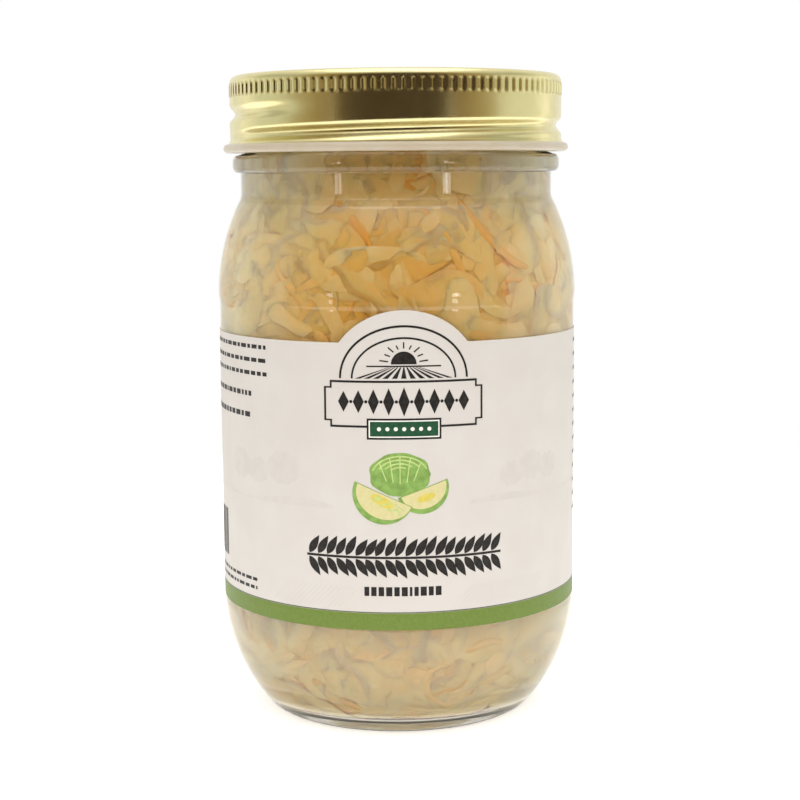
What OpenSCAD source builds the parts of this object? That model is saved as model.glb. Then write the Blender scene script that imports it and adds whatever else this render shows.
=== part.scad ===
// Pint glass jar of sauerkraut with a screw cap and a paper wrap label.
// Millimetres, +Z up, origin at the middle of the base, label facing -Y.

/* [Glass body] */
// Height of the glass, from the table to its rim
jar_h = 137.8; // [110:0.1:170]
// Outer diameter of the body
body_d = 78.8; // [74:0.2:96]
// Wall of the body
wall = 2.6; // [1.8:0.1:3.4]
// Height at which the heel curve ends and the straight body starts
heel_h = 26.3; // [20:0.1:32]
// From the rim down to where the shoulder starts
shoulder_drop = 46.6; // [42:0.1:50]

/* [Glass base] */
// Diameter of the ring that the jar stands on
stand_d = 55.8; // [48:0.2:62]
// Width of that ring
stand_w = 3.4; // [2:0.1:5]
// Radius of the toe between the standing ring and the heel
toe_r = 2.6; // [1.5:0.1:4]
// Rise of the hollow under the base
punt_h = 1.2; // [0.5:0.1:2]
// Height of the floor inside
floor_h = 3.6; // [3:0.1:7]
// How far the flat floor inside ends short of the standing ring's outer edge
floor_inset = 3.9; // [3:0.1:8]
// Radius of the corner between floor and inner heel
inner_toe_r = 6; // [4:0.5:8]

/* [Label panel] */
// Depth of the panel below the body's full diameter
panel_dip = 0.3; // [0.2:0.05:0.4]
// How far the panel's lower edge runs down into the heel's curve
panel_run = 1.7; // [0:0.1:2]

/* [Neck and finish] */
// Diameter at the root of the glass thread
finish_d = 66; // [50:0.1:68]
// How far the neck stands out from the thread's root
neck_out = 1.05; // [0.5:0.05:1.5]
// From the rim down to where the shoulder meets the neck
neck_drop = 23.9; // [22:0.1:26]
// Wall of the neck
neck_wall = 3.2; // [2.4:0.1:3.6]
// Radius of the hollow curve between shoulder and neck
neck_fillet_r = 4; // [2:0.5:6]
// How far the transfer bead stands out from the neck
bead_out = 1.75; // [1:0.05:2]
// From the rim down to the middle of the transfer bead
bead_drop = 17.7; // [17.7:0.1:19]
// Height of the transfer bead
bead_h = 4; // [3:0.1:4]
// Radius of the rim's rounded edges
rim_r = 0.8; // [0.4:0.1:1.2]
// Height that the glass thread stands out
glass_thread_t = 1.2; // [0.8:0.1:1.4]
// Width of the glass thread at its root
glass_thread_w = 2.6; // [2:0.1:3]
// Turns of the glass thread
glass_thread_turns = 1.2; // [1:0.1:1.5]
// From the rim down to the glass thread's lower end
glass_thread_drop = 10.6; // [10:0.1:11]
// Rise of either thread in one turn
thread_pitch = 5.08; // [4.2:0.02:5.2]

/* [Screw cap] */
// Height of the cap
cap_h = 16.5; // [16:0.1:16.6]
// Gap between the glass thread and the cap's skirt
cap_gap = 0.3; // [0.2:0.05:0.5]
// Thickness of the cap's skirt, out to its thread
cap_wall = 1.7; // [1.5:0.1:2.2]
// Thickness of the cap's top, with its gasket
cap_t = 0.6; // [0.5:0.1:0.9]
// Height of the rolled edge round the top panel
cap_rim_h = 0.6; // [0.3:0.1:0.9]
// Width of that rolled edge, with its corner
cap_rim_w = 4.8; // [4:0.1:8]
// Radius of the top's outer corner
cap_corner_r = 1.7; // [1:0.1:2.4]
// Height of the knurled band
knurl_h = 3; // [2:0.1:4]
// Number of flutes in the knurled band
knurl_n = 112; // [80:1:130]
// Depth of the flutes
knurl_dip = 0.35; // [0.2:0.05:0.5]
// Depth of the rolled thread groove
groove_t = 1.2; // [0.8:0.1:1.3]
// Width of the rolled thread groove
groove_w = 3.6; // [3:0.1:4]
// Turns of the rolled thread groove
groove_turns = 1.35; // [1:0.05:1.5]
// Height of the groove's lower end above the cap's lower edge
groove_up = 3.8; // [3.5:0.1:4.5]
// How far the rolled curl stands out from the skirt
curl_out = 1.5; // [1:0.1:2]
// Height of the curl
curl_h = 1.9; // [1.4:0.1:2.2]

/* [Label] */
// Bare strip of the panel below the label
label_margin = 0.5; // [0.3:0.1:3]
// Bare strip of the panel above the label's tab
tab_margin = 0.3; // [0.1:0.1:3]
// Thickness of the paper
label_t = 0.12; // [0.08:0.01:0.2]
// Thickness of the glue under it
glue_t = 0.06; // [0.02:0.01:0.08]
// Bare glass between the label's ends, at the back
label_gap = 20; // [4:1:60]
// Width of the domed tab at the top of the label
tab_w = 26.6; // [20:0.1:34]
// Height of the domed tab
tab_h = 6.6; // [4:0.1:8]
// Angle by which the label sits turned to the right
label_turn = 2; // [-10:0.5:10]

/* [Sauerkraut] */
// Room between the filling and the glass
fill_gap = 0.2; // [0.1:0.05:0.4]
// From the rim down to the filling's top
fill_drop = 3.6; // [2:0.1:3.8]

/* [Hidden] */
$fn = 96;
body_r = body_d / 2;
shoulder_z = jar_h - shoulder_drop;
panel_r = body_r - panel_dip;
panel_z = heel_h - panel_run;
stand_r = stand_d / 2;
floor_r = stand_r - floor_inset;
finish_r = finish_d / 2;
neck_r = finish_r + neck_out;
neck_z = jar_h - neck_drop;
bore_r = neck_r - neck_wall;
bead_r = neck_r + bead_out;
bead_z = jar_h - bead_drop;
cap_in_r = finish_r + glass_thread_t + cap_gap;
cap_r = cap_in_r + cap_wall;
curl_r = cap_r + curl_out;
cap_top = jar_h + cap_t + cap_rim_h;
cap_z = cap_top - cap_h;
knurl_top = cap_top - cap_corner_r;
label_z = panel_z + label_margin;
label_h = shoulder_z - tab_margin - tab_h - label_z;
fill_z = jar_h - fill_drop;
bead_edge_r = 0.9;
bead_slope_h = 0.4;
knurl_stand = 0.1;
arc_n = 9;
join = 0.4;
thread_steps = 60;
// Share of a thread's width that is flat at each side of its crest, and how its ends fade out
tip_share = 0.22;
fade_rate = 10;
fade_end = 0.15;

// Points of an arc about [x, z] from angle a0 to a1, in degrees
function arc(x, z, r, a0, a1, n = arc_n) =
    [for (i = [0:n]) [x + r * cos(a0 + (a1 - a0) * i / n), z + r * sin(a0 + (a1 - a0) * i / n)]];

// Radius of the large arc that runs tangent from a wall into a toe arc
function heel_big_r(h, w, toe) = toe + ((h - toe) ^ 2 + (w - toe) ^ 2) / (2 * (w - toe));
// Angle at which that arc meets the toe arc
function heel_angle(h, w, toe) =
    asin((h - toe) / (heel_big_r(h, w, toe) - toe));

// Heel of a vessel, from its floor up to the wall of radius wall_r at height top
function heel(wall_r, flat_r, bottom, top, toe) =
    let (w = wall_r - flat_r, h = top - bottom)
    let (big = heel_big_r(h, w, toe), a = heel_angle(h, w, toe))
    concat(
        arc(flat_r, bottom + toe, toe, -90, -a, 6),
        arc(wall_r - big, top, big, -a, 0)
    );

// Shoulder from a wall of radius wall_r into a neck of radius top_r, ending in a hollow curve
function shoulder(wall_r, top_r, small) =
    let (w = wall_r - top_r, h = neck_z - shoulder_z)
    let (both = (h ^ 2 + w ^ 2) / (2 * w), a = asin(h / both), big = both - small)
    concat(
        arc(wall_r - big, shoulder_z, big, 0, a),
        arc(top_r + small, neck_z, small, 180 + a, 180, 6)
    );

// Inside of the glass, drawn in by g, from its floor up to the given height
function inside(g, top) =
    let (wall_r = body_r - wall - g, neck_in_r = bore_r - g)
    concat(
        [[0, floor_h]],
        heel(wall_r, floor_r - g, floor_h, heel_h, inner_toe_r - g),
        shoulder(wall_r, neck_in_r, neck_fillet_r),
        [[neck_in_r, top], [0, top]]
    );

// Outside of the glass up to the finish, and over the rim to the middle
function outside() =
    concat(
        [[0, punt_h]],
        [[stand_r - stand_w, 0]],
        heel(body_r, stand_r, 0, heel_h, toe_r),
        shoulder(body_r, neck_r, neck_fillet_r),
        [[neck_r, bead_z - bead_h / 2]],
        arc(bead_r - bead_edge_r, bead_z - bead_h / 2 + bead_edge_r, bead_edge_r, -60, 0, 4),
        arc(bead_r - bead_edge_r, bead_z + bead_h / 2 - bead_edge_r, bead_edge_r, 0, 60, 4),
        [[finish_r, bead_z + bead_h / 2 + bead_slope_h]],
        arc(finish_r - rim_r, jar_h - rim_r, rim_r, 0, 90, 4),
        arc(bore_r + rim_r, jar_h - rim_r, rim_r, 90, 180, 4),
        [[bore_r, jar_h - rim_r - 1], [0, jar_h - rim_r - 1]]
    );

// Outline of the knurled band, a flute and a land for each step
function knurl_outline() =
    [for (i = [0:knurl_n - 1], s = [[0.08, 0], [0.62, 0], [0.74, 1], [0.96, 1]])
        let (a = 360 * (i + s[0]) / knurl_n, r = cap_r + knurl_stand - s[1] * knurl_dip)
        [r * cos(a), r * sin(a)]];

// Ridge or groove tool that climbs round the axis, fading out at its two ends.
// r0 is its buried radius, r1 its full radius and w its width at r0.
module helix(r0, r1, w, z, turns, start) {
    n = ceil(turns * thread_steps);
    tip = w * tip_share;
    rings = [for (i = [0:n])
        let (f = i / n, a = start + 360 * turns * f)
        let (fade = min(1, fade_rate * f + fade_end, fade_rate * (1 - f) + fade_end))
        let (r = r0 + (r1 - r0) * fade, zc = z + thread_pitch * turns * f)
        [for (p = [[r0, -w / 2], [r, -tip], [r, tip], [r0, w / 2]])
            [p[0] * cos(a), p[0] * sin(a), zc + p[1]]]];
    sides = [for (i = [0:n - 1], j = [0:3]) for (t = [0, 1])
        let (k = (j + 1) % 4)
        t == 0 ? [4 * i + j, 4 * i + k, 4 * i + 4 + k] : [4 * i + j, 4 * i + 4 + k, 4 * i + 4 + j]];
    ends = [[3, 2, 1, 0], [4 * n, 4 * n + 1, 4 * n + 2, 4 * n + 3]];
    faces = concat(sides, ends);
    turned = [for (f = faces) [for (i = [len(f) - 1:-1:0]) f[i]]];
    points = [for (ring = rings) for (p = ring) p];
    polyhedron(points, r1 > r0 ? faces : turned);
}

module jar() {
    color([0.86, 0.92, 0.9, 0.4])
    difference() {
        union() {
            rotate_extrude() polygon(outside());
            helix(finish_r - join, finish_r + glass_thread_t, glass_thread_w,
                jar_h - glass_thread_drop, glass_thread_turns, -60);
        }
        rotate_extrude() polygon(inside(0, jar_h + 1));
        label_panel();
    }
}

// Shallow band cut round the body for the label
module label_panel() {
    translate([0, 0, panel_z])
    difference() {
        cylinder(r = body_r + 1, h = shoulder_z - panel_z);
        translate([0, 0, -1]) cylinder(r = panel_r, h = shoulder_z - panel_z + 2);
    }
}

module cap() {
    color([0.83, 0.76, 0.5])
    difference() {
        union() {
            rotate_extrude() polygon(cap_outline());
            translate([0, 0, knurl_top - knurl_h])
            linear_extrude(knurl_h)
            difference() {
                polygon(knurl_outline());
                circle(r = cap_in_r + join);
            }
        }
        helix(cap_r + 1, cap_r - groove_t, groove_w, cap_z + groove_up, groove_turns, 180);
    }
}

// Half section of the cap: top panel, rolled edge, skirt and curl
function cap_outline() =
    concat(
        [[0, jar_h], [0, jar_h + cap_t], [cap_r - cap_rim_w, jar_h + cap_t]],
        arc(cap_r - cap_corner_r, cap_top - cap_corner_r, cap_corner_r, 110, 0),
        [[cap_r, cap_z + curl_h]],
        arc(curl_r - curl_h / 2, cap_z + curl_h / 2, curl_h / 2, 90, -90, 8),
        [[cap_in_r, cap_z], [cap_in_r, jar_h]]
    );

module label() {
    color([0.9, 0.88, 0.86])
    rotate([0, 0, label_turn])
    difference() {
        translate([0, 0, label_z]) paper_ring(label_h + tab_h);
        above_label();
        back_gap();
    }
}

// Full ring of the label's paper
module paper_ring(h) {
    difference() {
        cylinder(r = panel_r + glue_t + label_t, h = h);
        translate([0, 0, -1]) cylinder(r = panel_r + glue_t, h = h + 2);
    }
}

// Everything above the label's straight edge but the round bar that gives the tab its dome
module above_label() {
    tab_r = (tab_w ^ 2 / 4 + tab_h ^ 2) / (2 * tab_h);
    difference() {
        translate([0, 0, label_z + label_h]) cylinder(r = body_r + 1, h = tab_h + 1);
        translate([0, 0, label_z + label_h + tab_h - tab_r])
        rotate([90, 0, 0]) cylinder(r = tab_r, h = body_r + 2);
    }
}

// Wedge that parts the label's two ends
module back_gap() {
    half = label_gap / panel_r * 90 / PI;
    far = body_r + 2;
    translate([0, 0, label_z - 1])
    linear_extrude(label_h + 2)
    polygon([[0, 0], [far * sin(half), far * cos(half)], [-far * sin(half), far * cos(half)]]);
}

module sauerkraut() {
    color([0.85, 0.76, 0.5])
    rotate_extrude() polygon(inside(fill_gap, fill_z));
}

jar();
cap();
label();
sauerkraut();
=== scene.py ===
"""Looks of a pint jar of sauerkraut: glass, gold screw cap, paper label with its print, brine and shreds."""

import math
import random

import bmesh
import bpy
import numpy as np
from bpy.props import FloatProperty, FloatVectorProperty, IntProperty, PointerProperty
from mathutils import Matrix, Vector, noise
from mathutils.geometry import tessellate_polygon


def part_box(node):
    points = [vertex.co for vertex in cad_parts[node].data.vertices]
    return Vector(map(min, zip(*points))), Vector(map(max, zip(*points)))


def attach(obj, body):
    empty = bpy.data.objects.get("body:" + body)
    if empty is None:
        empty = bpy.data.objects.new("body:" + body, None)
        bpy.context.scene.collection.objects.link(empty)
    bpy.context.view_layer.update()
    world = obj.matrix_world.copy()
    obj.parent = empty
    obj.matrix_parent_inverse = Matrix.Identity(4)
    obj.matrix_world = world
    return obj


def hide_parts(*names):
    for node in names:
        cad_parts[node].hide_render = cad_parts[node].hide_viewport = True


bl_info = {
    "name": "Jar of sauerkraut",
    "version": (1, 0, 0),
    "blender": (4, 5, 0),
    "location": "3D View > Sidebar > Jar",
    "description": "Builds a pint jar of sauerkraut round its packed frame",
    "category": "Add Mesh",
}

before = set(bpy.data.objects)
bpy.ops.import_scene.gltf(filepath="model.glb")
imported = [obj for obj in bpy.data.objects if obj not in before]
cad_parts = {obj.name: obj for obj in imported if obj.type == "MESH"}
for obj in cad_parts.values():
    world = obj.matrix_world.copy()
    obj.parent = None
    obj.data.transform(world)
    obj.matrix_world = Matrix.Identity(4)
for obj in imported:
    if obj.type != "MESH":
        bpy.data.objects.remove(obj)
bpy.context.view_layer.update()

MM = 0.001
TURN = 2 * math.pi


# ---------------------------------------------------------------- sizes and colours a user would change


def linear(hex_colour):
    """Linear RGBA of an sRGB hex colour."""
    channels = [int(hex_colour[i:i + 2], 16) / 255 for i in (1, 3, 5)]
    return [c / 12.92 if c <= 0.04045 else ((c + 0.055) / 1.055) ** 2.4 for c in channels] + [1.0]


def length(name, mm, description):
    """A length property, given in millimetres."""
    return FloatProperty(name=name, description=description, default=mm * MM, min=0, unit="LENGTH", precision=5)


def colour(name, hex_colour, description):
    """A colour property, given as sRGB hex."""
    return FloatVectorProperty(name=name, description=description, default=linear(hex_colour),
                               size=4, min=0, max=1, subtype="COLOR")


def share(name, value, description):
    """A plain number from 0 up."""
    return FloatProperty(name=name, description=description, default=value, min=0)


class JarGlassSizes(bpy.types.PropertyGroup):
    """Sizes of the glass that its box doesn't give"""
    wall: length("Wall", 2.6, "Wall of the body")
    heel_h: length("Heel", 26.3, "Height at which the heel curve ends")
    shoulder_drop: length("Shoulder", 46.6, "From the rim down to where the shoulder starts")
    stand_r: length("Standing ring", 27.9, "Outer radius of the ring that the jar stands on")
    stand_w: length("Ring width", 3.4, "Width of that ring")
    toe_r: length("Toe", 2.6, "Radius between the standing ring and the heel")
    punt_h: length("Punt", 1.2, "Rise of the hollow under the base")
    floor_h: length("Floor", 3.6, "Height of the floor inside")
    floor_inset: length("Floor inset", 3.9, "How far the inner floor ends short of the standing ring")
    inner_toe_r: length("Inner toe", 6, "Radius of the corner between floor and inner heel")
    panel_dip: length("Panel dip", 0.3, "Depth of the label panel")
    panel_run: length("Panel run", 1.7, "How far the panel's lower edge runs into the heel")
    finish_r: length("Finish", 33, "Radius at the root of the thread")
    neck_out: length("Neck", 1.05, "How far the neck stands out from the thread's root")
    neck_drop: length("Neck drop", 23.9, "From the rim down to where the shoulder meets the neck")
    neck_wall: length("Neck wall", 3.2, "Wall of the neck")
    neck_fillet_r: length("Neck fillet", 4, "Radius of the hollow curve under the neck")
    bead_out: length("Bead", 1.75, "How far the transfer bead stands out from the neck")
    bead_drop: length("Bead drop", 17.7, "From the rim down to the middle of the transfer bead")
    bead_h: length("Bead height", 4, "Height of the transfer bead")
    rim_r: length("Rim", 0.8, "Radius of the rim's rounded edges")
    thread_t: length("Thread height", 1.2, "Height that the thread stands out")
    thread_w: length("Thread width", 2.6, "Width of the thread at its root")
    thread_drop: length("Thread drop", 10.6, "From the rim down to the thread's lower end")
    thread_pitch: length("Thread pitch", 5.08, "Rise of the threads in one turn")
    thread_turns: share("Thread turns", 1.2, "Turns of the glass thread")
    tint: colour("Glass tint", "#FBFDFC", "Faint tint of flint glass")


class JarCapSizes(bpy.types.PropertyGroup):
    """Sizes and colours of the screw cap"""
    sheet_t: length("Sheet", 0.22, "Thickness of the tinplate")
    panel_t: length("Panel seat", 0.6, "Height of the top panel above the glass rim")
    rim_w: length("Rolled rim", 4.8, "Width of the raised rim round the top panel")
    corner_r: length("Corner", 1.7, "Radius of the top's outer corner")
    knurl_h: length("Knurl height", 3, "Height of the knurled band")
    knurl_dip: length("Knurl depth", 0.27, "Depth of the flutes")
    knurl_n: IntProperty(name="Flutes", description="Number of flutes", default=112, min=40, max=160)
    groove_t: length("Groove depth", 1.2, "Depth of the rolled thread groove")
    groove_w: length("Groove width", 4.0, "Width of the rolled thread groove")
    groove_up: length("Groove height", 3.1, "Height of the groove's lower end above the cap's lower edge")
    groove_turns: share("Groove turns", 1.18, "Turns of the rolled thread groove")
    curl_out: length("Curl", 1.5, "How far the curl stands out from the skirt")
    curl_h: length("Curl height", 1.9, "Height of the curl")
    gold: colour("Gold lacquer", "#E3D8A2", "Lacquer over bright tinplate")
    gold_worn: colour("Worn gold", "#DED29A", "Where the lacquer is thicker")
    enamel: colour("Enamel", "#C4B9A6", "Coating inside the cap and on its curl")


class JarLabelSizes(bpy.types.PropertyGroup):
    """Sizes and ink colours of the label"""
    paper_t: length("Paper", 0.12, "Thickness of the paper")
    straight_h: length("Label height", 59.2, "Height of the label beside its tab")
    tab_w: length("Tab width", 26.6, "Width of the domed tab")
    back_gap: length("Back gap", 20, "Bare glass between the label's ends")
    turn: FloatProperty(name="Turn", description="How far the label's front is turned to the right",
                        default=math.radians(2), subtype="ANGLE")
    film: length("Ink film", 0.008, "Thickness of the printed ink")
    paper: colour("Paper", "#D3CECA", "Coated white label paper")
    black: colour("Black ink", "#14100E", "Near-black line ink")
    pine: colour("Pine ink", "#12452A", "Dark green of the small plate")
    band: colour("Band ink", "#677C31", "Green of the band along the lower edge")
    leaf: colour("Leaf ink", "#76964A", "Green of the pictured head")
    leaf_pale: colour("Pale leaf ink", "#B4C67C", "Leaf edges and ribs")
    flesh: colour("Flesh ink", "#CFC692", "Cut faces of the pictured wedges")
    heart: colour("Heart ink", "#CEBE5A", "Yellow hearts of the wedges")
    haze: colour("Haze ink", "#CCC6C1", "Faint grey of the pictured fields")


class JarKrautSizes(bpy.types.PropertyGroup):
    """The filling"""
    into_wall: length("Brine into wall", 0.15, "How far the brine reaches into the glass")
    core_in: length("Core inset", 1.5, "How far the core lies behind the glass")
    core_relief: length("Core relief", 1.1, "Depth of the core's folds")
    seed: IntProperty(name="Seed", description="Start of the shreds' random draws", default=7)
    amount: share("Amount", 1.0, "Share of the shreds to make")
    pale: colour("Pale shreds", "#FDEDC2", "Wet cabbage near the glass")
    warm: colour("Warm shreds", "#F9D996", "Cabbage that took up more brine")
    rib: colour("Ribs", "#FCEBC0", "Thicker, whiter rib pieces")
    core: colour("Core", "#F7D08C", "Packed cabbage behind the shreds")
    # Painted shade: this tint is laid deeper at the front, back and top of the filling and left off at the
    # sides and bottom, standing in for light and shade; how much each shred takes differs at random.
    soaking_and_painted_shade: colour("Soaked cabbage", "#FBD086", "Tint of the deeper-coloured cabbage at front and back")
    brine: colour("Brine", "#FBD84E", "Colour that the brine lets through")
    brine_density: share("Brine density", 330, "How strongly the brine absorbs, per metre")


class JarStageSizes(bpy.types.PropertyGroup):
    """Camera, floor and lights"""
    camera_back: length("Camera distance", 387.7, "From the camera to the point it looks at")
    aim_h: length("Aim height", 67.5, "Height of the point that the camera looks at")
    aim_side: length("Aim side", 0.56, "How far that point lies right of the jar's axis")
    pitch: FloatProperty(name="Pitch", description="How far the camera looks down",
                         default=math.radians(7.68), subtype="ANGLE")
    roll: FloatProperty(name="Roll", description="How far the camera leans to the right",
                        default=0.007, subtype="ANGLE")
    lens: share("Lens", 77.8, "Focal length in millimetres on a 36 mm sensor")
    floor_r: length("Floor", 340, "Radius of the round floor")
    floor: colour("Floor", "#FBFBFA", "Matt white board")


GROUPS = {
    "jar_glass": JarGlassSizes,
    "jar_cap": JarCapSizes,
    "jar_label": JarLabelSizes,
    "jar_kraut": JarKrautSizes,
    "jar_stage": JarStageSizes,
}


# ---------------------------------------------------------------- materials


def add_node(tree, kind, settings=(), links=()):
    """Adds a node of that kind, sets its values and links its inputs, each given as (name, value) pairs."""
    made = tree.nodes.new(kind)
    for name, value in settings:
        if isinstance(name, str) and hasattr(made, name):
            setattr(made, name, value)
        else:
            made.inputs[name].default_value = value
    for name, source in links:
        tree.links.new(source, made.inputs[name])
    return made


def grain(mm):
    """Scale of a texture node whose features are that many millimetres apart."""
    return 1 / (mm * MM)


def new_material(name):
    """An empty node material with its output node."""
    material = bpy.data.materials.new(name)
    material.use_nodes = True
    tree = material.node_tree
    tree.nodes.clear()
    return material, tree, tree.nodes.new("ShaderNodeOutputMaterial")


def mottled(tree, colours, spacing_mm, spread=(0.35, 0.65)):
    """Two colours that run into each other in patches of that spacing."""
    place = add_node(tree, "ShaderNodeTexCoord")
    cloud = add_node(tree, "ShaderNodeTexNoise", [("Scale", grain(spacing_mm)), ("Detail", 3)],
                     [("Vector", place.outputs["Object"])])
    ramp = add_node(tree, "ShaderNodeValToRGB", links=[("Fac", cloud.outputs["Fac"])])
    for stop, position, value in zip(ramp.color_ramp.elements, spread, colours):
        stop.position = position
        stop.color = value
    return ramp.outputs["Color"]


def bumps(tree, spacing_mm, depth_mm, detail=2):
    """Normal of a fine random relief of that spacing and depth."""
    place = add_node(tree, "ShaderNodeTexCoord")
    relief = add_node(tree, "ShaderNodeTexNoise", [("Scale", grain(spacing_mm)), ("Detail", detail)],
                      [("Vector", place.outputs["Object"])])
    return add_node(tree, "ShaderNodeBump", [("Distance", depth_mm * MM)],
                    [("Height", relief.outputs["Fac"])]).outputs["Normal"]


def see_through(tree, surface):
    """Lets lamp light pass straight through a clear surface, as it nearly does through thin glass."""
    path = add_node(tree, "ShaderNodeLightPath")
    clear = add_node(tree, "ShaderNodeBsdfTransparent")
    return add_node(tree, "ShaderNodeMixShader",
                    links=[(0, path.outputs["Is Shadow Ray"]), (1, surface), (2, clear.outputs[0])]).outputs[0]


def flint_glass(name, reflects):
    """Soda-lime flint glass, blown in a mould: sharp reflections with the faint waviness of the mould.
    A face that is wet reflects far less than a dry one."""
    values = bpy.context.scene.jar_glass
    material, tree, output = new_material("flint glass, " + name)
    wavy = bumps(tree, 14, 0.05)
    glass = add_node(tree, "ShaderNodeBsdfPrincipled", [
        ("Base Color", values.tint), ("Roughness", 0.015), ("IOR", 1.52), ("Transmission Weight", 1.0),
        ("Specular IOR Level", reflects),
    ], [("Normal", wavy)])
    tree.links.new(see_through(tree, glass.outputs[0]), output.inputs["Surface"])
    return material


def salt_brine():
    """Cloudy yellow brine: it deepens to amber wherever one looks further into it."""
    values = bpy.context.scene.jar_kraut
    material, tree, output = new_material("brine, clear amber")
    water = add_node(tree, "ShaderNodeBsdfPrincipled", [
        ("Base Color", (1, 1, 1, 1)), ("Roughness", 0.03), ("IOR", 1.34), ("Transmission Weight", 1.0),
        ("Specular IOR Level", 0.05),
    ])
    depth = add_node(tree, "ShaderNodeVolumeAbsorption", [
        ("Color", values.brine), ("Density", values.brine_density),
    ])
    tree.links.new(see_through(tree, water.outputs[0]), output.inputs["Surface"])
    tree.links.new(depth.outputs[0], output.inputs["Volume"])
    return material


def gold_lacquer():
    """Gold lacquer on rolled tinplate: a satin metal with uneven lacquer and fine rolling grain."""
    values = bpy.context.scene.jar_cap
    material, tree, output = new_material("tinplate, gold lacquered")
    patches = mottled(tree, (values.gold, values.gold_worn), 5)
    place = add_node(tree, "ShaderNodeTexCoord")
    gloss = add_node(tree, "ShaderNodeTexNoise", [("Scale", grain(2.5)), ("Detail", 4)],
                     [("Vector", place.outputs["Object"])])
    rough = add_node(tree, "ShaderNodeMapRange", [("To Min", 0.20), ("To Max", 0.29)],
                     [("Value", gloss.outputs["Fac"])])
    metal = add_node(tree, "ShaderNodeBsdfPrincipled", [("Metallic", 1.0)], [
        ("Base Color", patches), ("Roughness", rough.outputs[0]), ("Normal", bumps(tree, 0.4, 0.004)),
    ])
    tree.links.new(metal.outputs[0], output.inputs["Surface"])
    return material


def white_enamel():
    """White stoving enamel on the cap's inside and curl: a smooth, slightly warm gloss."""
    values = bpy.context.scene.jar_cap
    material, tree, output = new_material("enamel, white stoved")
    warm = [c * s for c, s in zip(values.enamel, (0.94, 0.9, 0.84, 1))]
    coat = add_node(tree, "ShaderNodeBsdfPrincipled", [("Roughness", 0.3), ("Specular IOR Level", 0.5)], [
        ("Base Color", mottled(tree, (values.enamel, warm), 6)), ("Normal", bumps(tree, 1.5, 0.01)),
    ])
    tree.links.new(coat.outputs[0], output.inputs["Surface"])
    return material


def label_paper():
    """Coated label paper: nearly even white with faint fibres and a soft sheen."""
    values = bpy.context.scene.jar_label
    material, tree, output = new_material("paper, coated white")
    shade = [c * s for c, s in zip(values.paper, (0.97, 0.955, 0.94, 1))]
    paper = add_node(tree, "ShaderNodeBsdfPrincipled", [("Roughness", 0.55), ("Specular IOR Level", 0.3)], [
        ("Base Color", mottled(tree, (values.paper, shade), 9)), ("Normal", bumps(tree, 0.5, 0.006, 4)),
    ])
    tree.links.new(paper.outputs[0], output.inputs["Surface"])
    return material


def printing_ink(name, tone, lighter=1.15, spacing_mm=0.7):
    """Offset printing ink on coated paper: a thin satin film with a slight speckle of paper showing through."""
    material, tree, output = new_material("printing ink, " + name)
    light = [min(1, c * lighter + 0.01 * (lighter > 1)) for c in tone[:3]] + [1]
    ink = add_node(tree, "ShaderNodeBsdfPrincipled", [("Roughness", 0.5), ("Specular IOR Level", 0.3)], [
        ("Base Color", mottled(tree, (tone, light), spacing_mm)), ("Normal", bumps(tree, 0.5, 0.004)),
    ])
    tree.links.new(ink.outputs[0], output.inputs["Surface"])
    return material


def wet_cabbage(name, tone, other, patch_mm=7):
    """Soured cabbage soaked in brine: soft and translucent, wet gloss, each shred a little paler or warmer.
    Painted light and shade: it is tinted deeper amber towards the top and at the front and back, and left paler
    at the sides and bottom, as if lit through there and shaded under the cap."""
    material, tree, output = new_material("cabbage, " + name)
    island = add_node(tree, "ShaderNodeNewGeometry")
    patches = mottled(tree, (tone, other), patch_mm, (0.3, 0.7))
    paler = add_node(tree, "ShaderNodeMix", [("data_type", "RGBA"), ("blend_type", "MIX"), (7, tone)],
                     [(0, island.outputs["Random Per Island"]), (6, patches)])
    place = add_node(tree, "ShaderNodeTexCoord")
    axes = add_node(tree, "ShaderNodeSeparateXYZ", links=[("Vector", place.outputs["Object"])])
    # Painted light and shade: the tint grows with distance to the front and back and with height, so the sides
    # and bottom stay paler as if lit through and the top deeper as if shaded by the cap; each shred's share
    # also differs at random.
    depth = add_node(tree, "ShaderNodeMath", [("operation", "ABSOLUTE")], [(0, axes.outputs["Y"])])
    facing = add_node(tree, "ShaderNodeMapRange", [("From Min", 16 * MM), ("From Max", 36 * MM)],
                      [("Value", depth.outputs[0])])
    high = add_node(tree, "ShaderNodeMapRange", [("From Min", -110 * MM), ("From Max", 122 * MM)],
                    [("Value", axes.outputs["Z"])])
    uneven = add_node(tree, "ShaderNodeMapRange", [("To Min", 0.35), ("To Max", 1.15), ("clamp", False)],
                      [("Value", island.outputs["Random Per Island"])])
    where = add_node(tree, "ShaderNodeMath", [("operation", "MULTIPLY")],
                     [(0, facing.outputs[0]), (1, high.outputs[0])])
    soaking_and_painted_shade = add_node(tree, "ShaderNodeMath", [("operation", "MULTIPLY"), ("use_clamp", True)],
                      [(0, where.outputs[0]), (1, uneven.outputs[0])])
    amber = add_node(tree, "ShaderNodeMix", [("data_type", "RGBA"), ("blend_type", "MULTIPLY"),
                                             (7, bpy.context.scene.jar_kraut.soaking_and_painted_shade)],
                     [(0, soaking_and_painted_shade.outputs[0]), (6, paler.outputs[2])])
    flesh = add_node(tree, "ShaderNodeBsdfPrincipled", [
        ("Roughness", 0.38), ("IOR", 1.4), ("Subsurface Weight", 0.45), ("Subsurface Scale", 0.35 * MM),
        ("Subsurface Radius", (1.0, 0.7, 0.35)), ("Specular IOR Level", 0.25),
    ], [("Base Color", amber.outputs[2]), ("Normal", bumps(tree, 2.6, 0.16, 1))])
    tree.links.new(flesh.outputs[0], output.inputs["Surface"])
    return material


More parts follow.
